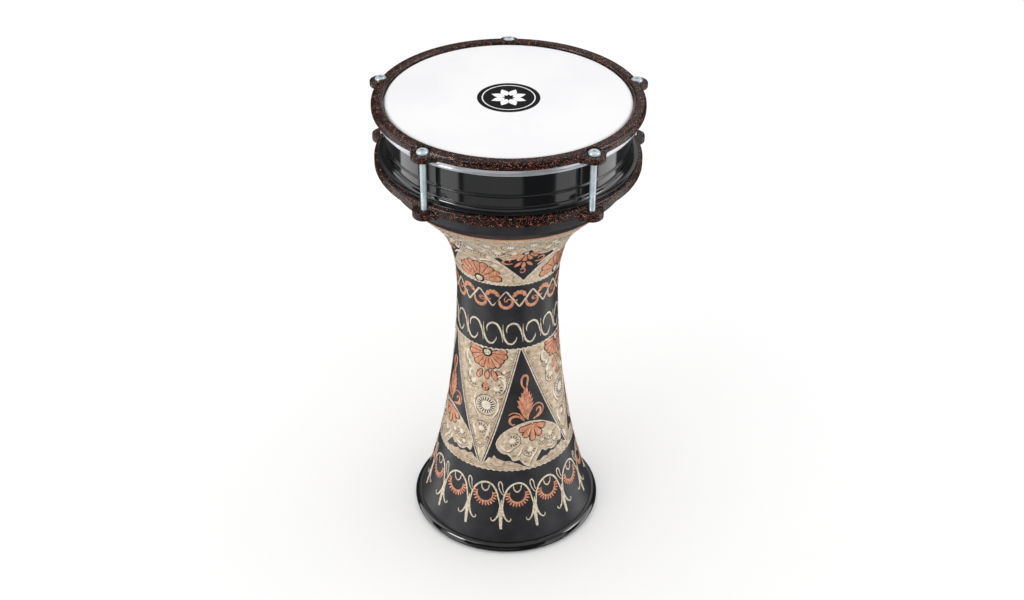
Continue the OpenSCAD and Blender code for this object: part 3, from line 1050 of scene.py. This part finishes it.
def triangle_flower():
    """In each black triangle: a copper plume with side curls over a silver cloud."""
    copper, dark, line = (metal("main", name) for name in ("copper", "dark", "line"))
    right = [(1.4, 0), (2.1, 4.5), (3.8, 8.2), (5.2, 12.5), (4.6, 12), (7, 17), (5, 16.2), (6.6, 21.5),
             (4.6, 20.4), (5.6, 25.6), (3.6, 24), (3.8, 29), (2, 27.2), (1.5, 33)]
    left = [(-1.5, 33), (-2.4, 27.4), (-4.2, 28.6), (-4.4, 23.6), (-6.4, 25.2), (-5.6, 20.2), (-8.2, 21.4),
            (-6.4, 16.2), (-8, 15.2), (-5.8, 12.2), (-4.4, 7.6), (-2.6, 3.6)]
    cloud = []
    for points, per in (
            ([(-29.5, 101), (-25.5, 107.2), (-19, 112.4), (-10, 116.6), (0, 118.2), (9, 116.4), (18, 111.6),
              (26.5, 105), (31.5, 98.5), (34.2, 91.5), (33.5, 85.6)], 4),
            ([(33.5, 85.6), (29.5, 87.4), (26.5, 84.4), (21.5, 83.4), (17.5, 85.4), (14.5, 84.4)], 3),
            ([(14.5, 84.4), (10.5, 87.4), (6.5, 82.5), (2.5, 77), (-2, 74.2)], 3),
            ([(-2, 74.2), (-6, 76), (-9, 79.5), (-11.5, 82.5), (-16.5, 81.6), (-18.6, 85.6)], 3),
            ([(-18.6, 85.6), (-21.4, 88.2), (-26, 89.4), (-29.6, 93.5), (-30.6, 98)], 3)):
        cloud = cloud[:-1] + curve(points, per)
    for k in range(4):
        mid = TRIANGLE_AT + 90 * k
        stem = spot(mid - 2.6, 120)
        copper.fill(right + left, stem, 0.26, 0.3, grid=1.2)
        copper.stroke(curve([(-1.2, 32), (-3.2, 36), (-3.4, 41), (-1.6, 44.8), (1.2, 44.6), (2.2, 41),
                             (1.4, 37),
                                   (1.1, 33)]), stem, swell(1.3, 2.2), 0.42)
        for v in (6, 10.5, 15, 19.5, 24):
            reach = 4.4 - abs(v - 14) * 0.16
            for side in (-1, 1):
                dark.stroke([(0, v), (side * reach * 0.5, v + 1.9), (side * reach, v + 3)], stem, 0.4, 0.58)
        dark.stroke([(0, 2), (0, 16), (0, 29)], stem, 0.4, 0.6)
        for thin, thick, *path in (
                (0.8, 1.4, (-15.8, 7), (-11.5, 9), (-6.5, 7.2), (-3.2, 2.4), (-2.4, -0.4)),
                (0.9, 2.6, (-3.6, 0.6), (-6, 4), (-10.2, 5.4), (-14.4, 3.2), (-15, -0.8), (-12.4, -3),
                 (-10.6, -2)),
                (0.8, 1.3, (3.6, 8), (6.4, 12.8), (11, 14.4), (15.2, 11.8), (16.6, 7.2), (14.2, 3), (9, 0.8),
                 (5.6, 0.2)),
                (0.9, 2.5, (5.8, 0.4), (9.6, 1.6), (13.2, 4.8), (13.6, 8.4), (11.6, 9.8), (9.6, 8.2),
                 (9.8, 6.4))):
            copper.stroke(curve(path), stem, swell(thin, thick), 0.36)
        place = spot(mid)
        metal("main", "ground").fill(cloud, place, CLOUD_TOP, grid=2)
        line.stroke(cloud + cloud[:1], place, 1.1, 0.4, ends=(1, 1))
        tulip = spot(mid + 3, 115.5)
        for angle, length, width in ((112, 12.4, 5), (144, 13.6, 5.6), (176, 15.6, 5.4), (208, 14.2, 5.8),
                                     (244, 12.6, 5.4)):
            inlay("main", turn_points(petal(length, width, 0.6), angle), tulip, 0.9, 0.36, 0.44, 0.2)
        line.stroke(curve([(-11.5, -4), (-13, -8), (-10.5, -11), (-7.5, -10)]), tulip, swell(0.6, 1.3), 0.5)
        line.stroke(curve([(12.8, -2), (14.5, -6), (12, -9.5), (8.5, -9)]), tulip, swell(0.6, 1.3), 0.5)
        rosettes("main", mid, ((-16.5, 101, 6, -100, 100), (-1, 91, 5.4, 190, 350), (20.5, 99.5, 5, 180, 360),
                               (25.5, 91.5, 3.8, 200, 350), (11.5, 96.5, 3.6, 190, 340)), CLOUD_TOP)
        curls("main", place, ([(-26, 95), (-22, 91.5), (-18, 92.5), (-15, 96)],
                              [(7, 93), (5, 88), (1.5, 84), (-2, 78)],
                              [(-8, 94), (-10, 89), (-13, 86)], [(16, 89), (20, 87), (24, 87.6)]),
              swell(0.7, 2.2), 0.5, (1, 0.5, 1.5), (0.8, 0.34))


def scroll_band():
    """Sixteen pairs of S hooks between the wavy line and the zigzag."""
    line = metal("scroll", "line")
    for k in range(SCROLLS):
        at = spot(SCROLL_AT + 360 / SCROLLS * k, SCROLL_ROW)
        over = curve([(-5, 1.2), (-5.4, 4.4), (-3.6, 8.4), (0.2, 10.2), (3.8, 8.6), (6.4, 3.4), (7.8, -2.6),
                            (8.6, -8.6)])
        under = curve([(-8.4, 9.4), (-8.3, 2), (-7.2, -4.8), (-4.2, -9.6), (-0.4, -10.2), (2.4, -6.6),
                             (3.2, -3.4)])
        line.stroke(over, at, lambda t: 0.5 + 1.5 * sin(pi * min(1, t * 1.15)) ** 0.8, 0.32)
        line.stroke(under, at, lambda t: 0.5 + 1.5 * sin(pi * max(0, t * 1.15 - 0.15)) ** 0.8, 0.32)


def zigzag_band():
    """A silver zigzag with a copper curl under every peak and a scalloped copper fan over every valley."""
    line, copper, dark = (metal("zigzag", m) for m in ("line", "copper", "dark"))
    step = 360 / ZIGS
    ridge = []
    for k in range(ZIGS):
        peak = ZIG_AT + step * k
        ridge += [(peak - 1.3, ZIG_HIGH - 0.6), (peak, ZIG_HIGH), (peak + 1.3, ZIG_HIGH - 0.6),
                  (peak + step / 4, (ZIG_LOW + ZIG_HIGH) / 2), (peak + step / 2 - 1, ZIG_LOW + 0.5),
                  (peak + step / 2, ZIG_LOW), (peak + step / 2 + 1, ZIG_LOW + 0.5),
                  (peak + step * 0.75, (ZIG_LOW + ZIG_HIGH) / 2)]
    line.stroke(polar(ridge), spot(0), 1.6, 0.42, closed=True)
    for k in range(ZIGS):
        under = spot(ZIG_AT + step * k, 240.2)
        curl = curve([(1, 4.6), (-0.4, 2.2), (0.8, 0.2), (3.4, 0.4), (4.9, 2)]) if k % 2 else \
            curve([(0.2, 6), (-1.4, 3.2), (-0.6, 0.6), (1.4, 0.6)])
        hook = curve([(-5.4, 2.2), (-5.2, -1.4), (-3.2, -4.6), (0, -5.7), (3.2, -4.6), (5.2, -1.6), (5, 1.6),
                            (3, 3.2), (0.9, 2.2), (0.6, 0.2)])
        copper.stroke(hook, under, lambda t: 1.2 + 2.2 * sin(pi * min(1, t * 1.3)) ** 0.7
                      if t < 0.77 else 1.1, 0.3)
        copper.stroke(curl, under, swell(0.5, 0.9), 0.28)
        over = spot(ZIG_AT + step * (k + 0.5), 246.2)
        fan = []
        for j in range(37):
            a = radians(188 - 196 * j / 36)
            bump = 0.75 * abs(sin(radians(j * 30)))
            fan.append(((5.8 + bump) * cos(a), (5.7 + bump) * sin(a)))
        for j in range(13):
            a = radians(-4 + 184 * j / 12)
            fan.append((2.9 * cos(a), 2.0 * sin(a) + 0.2))
        copper.fill(fan, over, 0.26, 0.12, grid=1)
        for j in range(5):
            a = radians(150 - 30 * j)
            rib = [(3.6 * cos(a), 3.2 * sin(a)), (5.3 * cos(a), 5.1 * sin(a))]
            dark.stroke(rib, over, 0.35, 0.42)
        copper.stroke(curve([(-5.6, 0.5), (-5.2, -2.4), (-3, -4.2), (-1.4, -3)]), over, swell(0.9, 1.5), 0.28)


def upper_band():
    """Silver fields and black hanging triangles on the bowl, with a lace border and copper flowers."""
    ground, line, dark, copper = (metal("upper", name) for name in ("ground", "line", "dark", "copper"))

    def side_angle(k, side, h):
        t = (h - UPPER_APEX) / (UPPER_HIGH - UPPER_APEX)
        return UPPER_AT + side * 45 * (0.22 * sin(pi * min(t, 1)) + t) + 90 * k

    heights = [UPPER_APEX + (UPPER_HIGH - UPPER_APEX) * j / 14 for j in range(15)]
    for k in range(4):
        mid = UPPER_AT - 45 + 90 * k
        rows = [(side_angle(k - 1, 1, h) + 1.3, side_angle(k, -1, h) - 1.3, h) for h in heights]
        rows = [r for r in rows if r[1] - r[0] > 2]
        outline = [(r[0], r[2]) for r in rows] + [(r[1], r[2]) for r in rows[::-1]]
        ground.fill(polar(outline, mid), spot(mid), NEST["ground"], grid=2.8)
        for side, owner in ((1, k - 1), (-1, k)):
            for shift, width in ((0, 1.9), (2.2, 0.6)):
                aside = side * shift * 50
                edge = [(side_angle(owner, side, h) + aside / on_profile(h)[0], h) for h in heights]
                edge = [(min(a, mid) if side > 0 else max(a, mid), h) for a, h in edge]
                line.stroke(polar(edge, mid), spot(mid), width, 0.42, ends=(0.9, 0.9))
        flower = spot(UPPER_DAISY_AT + 90 * k, 262.6)
        daisy("upper", flower, -82, 82, 9, 3.8, 20.5, 6.4)
        rosettes("upper", UPPER_DAISY_AT + 90 * k,
                 ((14, 293, 5.2, 20, 200), (-16, 294, 5.2, -20, 160), (0, 303, 6.4), (24, 309, 5.4),
                  (-24, 309, 5.4),
                  (0, 320, 5), (20, 322, 4.2), (-20, 322, 4.2)))
        curls("upper", flower, ([(-26, 16), (-20, 22), (-12, 25), (-5, 23.5)],
                                [(26, 16), (20, 22.5), (12, 25.5), (5, 24)],
                                [(-10, 38), (-15, 44), (-13, 51), (-6, 53)],
                                [(10, 38), (15, 44), (13, 51), (6, 53)]),
              swell(0.8, 2.4), 0.42, (1, 0, 1.6), (0.9, 0.2))

    def field_foot(a):
        return UPPER_APEX + 1.2 - 0.9 * max(0, wave(a - UPPER_AT, 4, 1)) ** 8

    ground.band(lambda a: UPPER_EDGE + 0.4, field_foot, NEST["ground"], 2, 720)
    lace = [(-44, 330.6), (-42, 318), (-40, 304), (-36, 297), (-30, 293.5), (-24, 294.5), (-20, 291.5),
            (-13, 291.5),
            (-7, 294), (-3, 299), (0, 309), (3.5, 303), (8, 297.5), (14, 294.5), (20, 294), (26, 296.5),
            (31, 295.5),
            (36, 299), (40, 305), (42, 318), (44, 330.6)]
    for k in range(4):
        mid = UPPER_AT + 90 * k
        place = spot(mid)
        inside_edges = []
        for a, h in curve(lace, 4):
            wide = abs(side_angle(0, 1, h) - UPPER_AT) - 2.2
            inside_edges.append((mid + max(-wide, min(wide, a)), h))
        outline = polar(inside_edges, mid)
        ground.fill(outline, place, CLOUD_TOP, grid=2.6)
        line.stroke(outline, place, 1, 0.38)
        for a, v, *shape in ((-24, 303, 6, 180, 360), (-12, 302, 5.2, 190, 350), (14, 305, 5.6, 180, 360),
                             (27, 305, 5, 180, 360), (-30, 318, 5.6), (-15, 318, 5.6), (0, 321, 6.2),
                             (15, 319, 5.6), (30, 319, 5.6)):
            rosette("upper", spot(mid + a, v), *shape, base=CLOUD_TOP)
        fan = spot(mid - 2, 301.5)
        for j in range(7):
            shape = turn_points(petal(11.0 - 0.3 * abs(j - 3), 4.2, 3), 104 + 152 * j / 6)
            inlay("upper", shape, fan, 0.7, 0.2, 0.3, 0.16)
        dark.fill(disc(3.6), fan, 0.34, grid=2.5)
        line.fill(disc(2.1), fan, 0.4, 0.3, grid=0.9)
        for angle, length, width, x, y in ((140, 9, 3.4, -2, -15), (180, 9, 3.8, 0, -15.5),
                                           (220, 9, 3.4, 2, -15)):
            copper.fill(turn_points(leaf(length, width), angle, (x, y)), fan, 0.28, 0.14, grid=1.1)
        copper.stroke(curve([(-2.2, -25.5), (-0.4, -24.4), (1.8, -25.8), (1.6, -28.4), (-0.6, -29.4),
                             (-2.2, -28)]),
                      fan, 1.1, 0.34)
        for side in (-1, 1):
            copper.stroke(curve([(side * 9, -16.5), (side * 14, -17.5), (side * 17.6, -14.5),
                                 (side * 16, -11),
                                       (side * 12.4, -11.4), (side * 12.2, -14)]), fan, swell(0.8, 2), 0.32)


# ---------------------------------------------------------------- stage, light and camera

TARGET_PITCH = 34.30
CAMERA_AT = (0.0, -1.1128, 0.9754)
FOCAL = 55.26
ROLL = 0.37
SHIFT = 4.6 / 1024


def camera():
    """Looks down on the drum from the front at the photograph's angle."""
    data = bpy.data.cameras.new("camera")
    data.sensor_width = 36
    data.lens = FOCAL
    data.shift_x = SHIFT
    data.clip_end = 50
    obj = bpy.data.objects.new("camera", data)
    tilt = Matrix.Rotation(radians(90 - TARGET_PITCH), 4, "X")
    obj.matrix_world = Matrix.Translation(CAMERA_AT) @ tilt @ Matrix.Rotation(radians(ROLL), 4, "Z")
    bpy.context.scene.collection.objects.link(obj)
    bpy.context.scene.camera = obj


def floor():
    """A plain pale floor."""
    mesh = bpy.data.meshes.new("floor")
    bm = bmesh.new()
    bmesh.ops.create_grid(bm, x_segments=8, y_segments=8, size=6)
    bm.to_mesh(mesh)
    bm.free()
    obj = bpy.data.objects.new("floor", mesh)
    bpy.context.scene.collection.objects.link(obj)
    f = Finish("floor", rgb(252, 252, 252), 0.0, 0.9, Specular_IOR_Level=0.0)
    mesh.materials.append(f.tint(f.noise(3, 2), (0.3, rgb(251, 251, 251)), (0.7, rgb(253, 253, 253))).mat)
    obj.location.z = -0.0002
    obj.visible_glossy = False


def world():
    """Even white light on everything; what shines also sees two tall side boxes against a dark studio."""
    scene = bpy.context.scene
    scene.world = bpy.data.worlds.new("studio")
    scene.world.use_nodes = True
    scene.world.cycles.sampling_method = "NONE"
    tree = scene.world.node_tree
    tree.nodes.clear()

    def maths(operation, a, b=0.0):
        return add_node(tree, "ShaderNodeMath", {0: a, 1: b}, operation=operation).outputs[0]

    def window(value, centre, half, soft):
        """1 inside centre plus or minus half, falling to 0 over soft."""
        off = maths("ABSOLUTE", maths("SUBTRACT", value, centre))
        return add_node(tree, "ShaderNodeMapRange", {"Value": off, "From Min": half + soft, "From Max": half},
                        interpolation_type="SMOOTHSTEP").outputs["Result"]

    direction = add_node(tree, "ShaderNodeTexCoord").outputs["Generated"]
    x, y, z = add_node(tree, "ShaderNodeSeparateXYZ", {0: direction}).outputs
    round_front = maths("ARCTAN2", x, maths("MULTIPLY", y, -1.0))
    level = maths("ADD", 0.07, maths("MULTIPLY", window(z, 1.0, 0.3, 0.3), 0.55))
    for centre, half, low, high, power in SOFTBOXES:
        box = maths("MULTIPLY", window(round_front, radians(centre), radians(half), 0.05),
                    window(z, (low + high) / 2, (high - low) / 2, 0.08))
        level = maths("ADD", level, maths("MULTIPLY", box, power))
    shine = add_node(tree, "ShaderNodeBackground", {"Strength": level})
    fill = add_node(tree, "ShaderNodeBackground", {"Color": (1, 1, 1, 1), "Strength": 1.03})
    glossy = add_node(tree, "ShaderNodeLightPath").outputs["Is Glossy Ray"]
    mix = add_node(tree, "ShaderNodeMixShader", {0: glossy, 1: fill.outputs[0], 2: shine.outputs[0]})
    add_node(tree, "ShaderNodeOutputWorld", {"Surface": mix.outputs[0]})


# Each soft box: angle from the front, half its width in degrees, lowest and highest slope, brightness
SOFTBOXES = ((-62, 9, 0.40, 0.60, 14.0), (86, 8, 0.40, 0.60, 9.0),
             (-14, 26, -0.6, -0.3, 0.42), (-62, 14, -0.8, 0.3, 1.2), (58, 12, -0.8, 0.3, 1.0),
             (-105, 12, -0.8, 0.8, 1.8), (105, 12, -0.8, 0.8, 1.8), (180, 30, 0.2, 0.9, 0.5))


def lights():
    """A large overhead soft box and a gentle key from the upper left."""
    for name, place, aim, size, power in (("overhead", (0, 0.2, 1.6), (0, 0, 0), 1.4, 0.6),
                                          ("key", (-1.3, -1.2, 1.5), (0, 0, 0.25), 0.9, 3.0)):
        data = bpy.data.lights.new(name, "AREA")
        data.shape = "SQUARE"
        data.size = size
        data.energy = power
        obj = bpy.data.objects.new(name, data)
        obj.location = place
        obj.rotation_euler = (Vector(aim) - Vector(place)).to_track_quat("-Z", "Y").to_euler()
        bpy.context.scene.collection.objects.link(obj)


# ---------------------------------------------------------------- build

bpy.context.scene.view_settings.view_transform = "Standard"
camera()
floor()
world()
lights()

shell_body()
turned("head_collar_piece", "head_collar", "collar", "shell", "collar_lacquer", 0.3)
turned("foot_edging_piece", "foot_ring", "edging", "shell", "foot_edging", 0.3)
turned("flesh_channel", "flesh_hoop", "aluminium", "head", "polished_aluminium", 0.2)
turned("head_film_piece", "drumhead_film", "film", "head", "head_film", 0.1)
turned("resin_fill", "channel_resin", "resin", "head", "resin", 0.1)
turned("printed_patch", "head_patch", "ink", "head", "patch_print", 0.03)
patch_print()
cast("hoop_casting", "top_hoop", "hammer", "hoop", "hammertone", 0.4, 8)
cast("ring_casting", "lower_ring", "hammer", "shell", "hammertone", 0.4, 8)
for number in range(1, 6):
    bolt(number)
    nut(number)

border_lines()
arch_band()
main_fields()
main_flowers()
triangle_flower()
scroll_band()
zigzag_band()
upper_band()
for (band, material), relief in BANDS.items():
    relief.make(f"{band}_{material}")
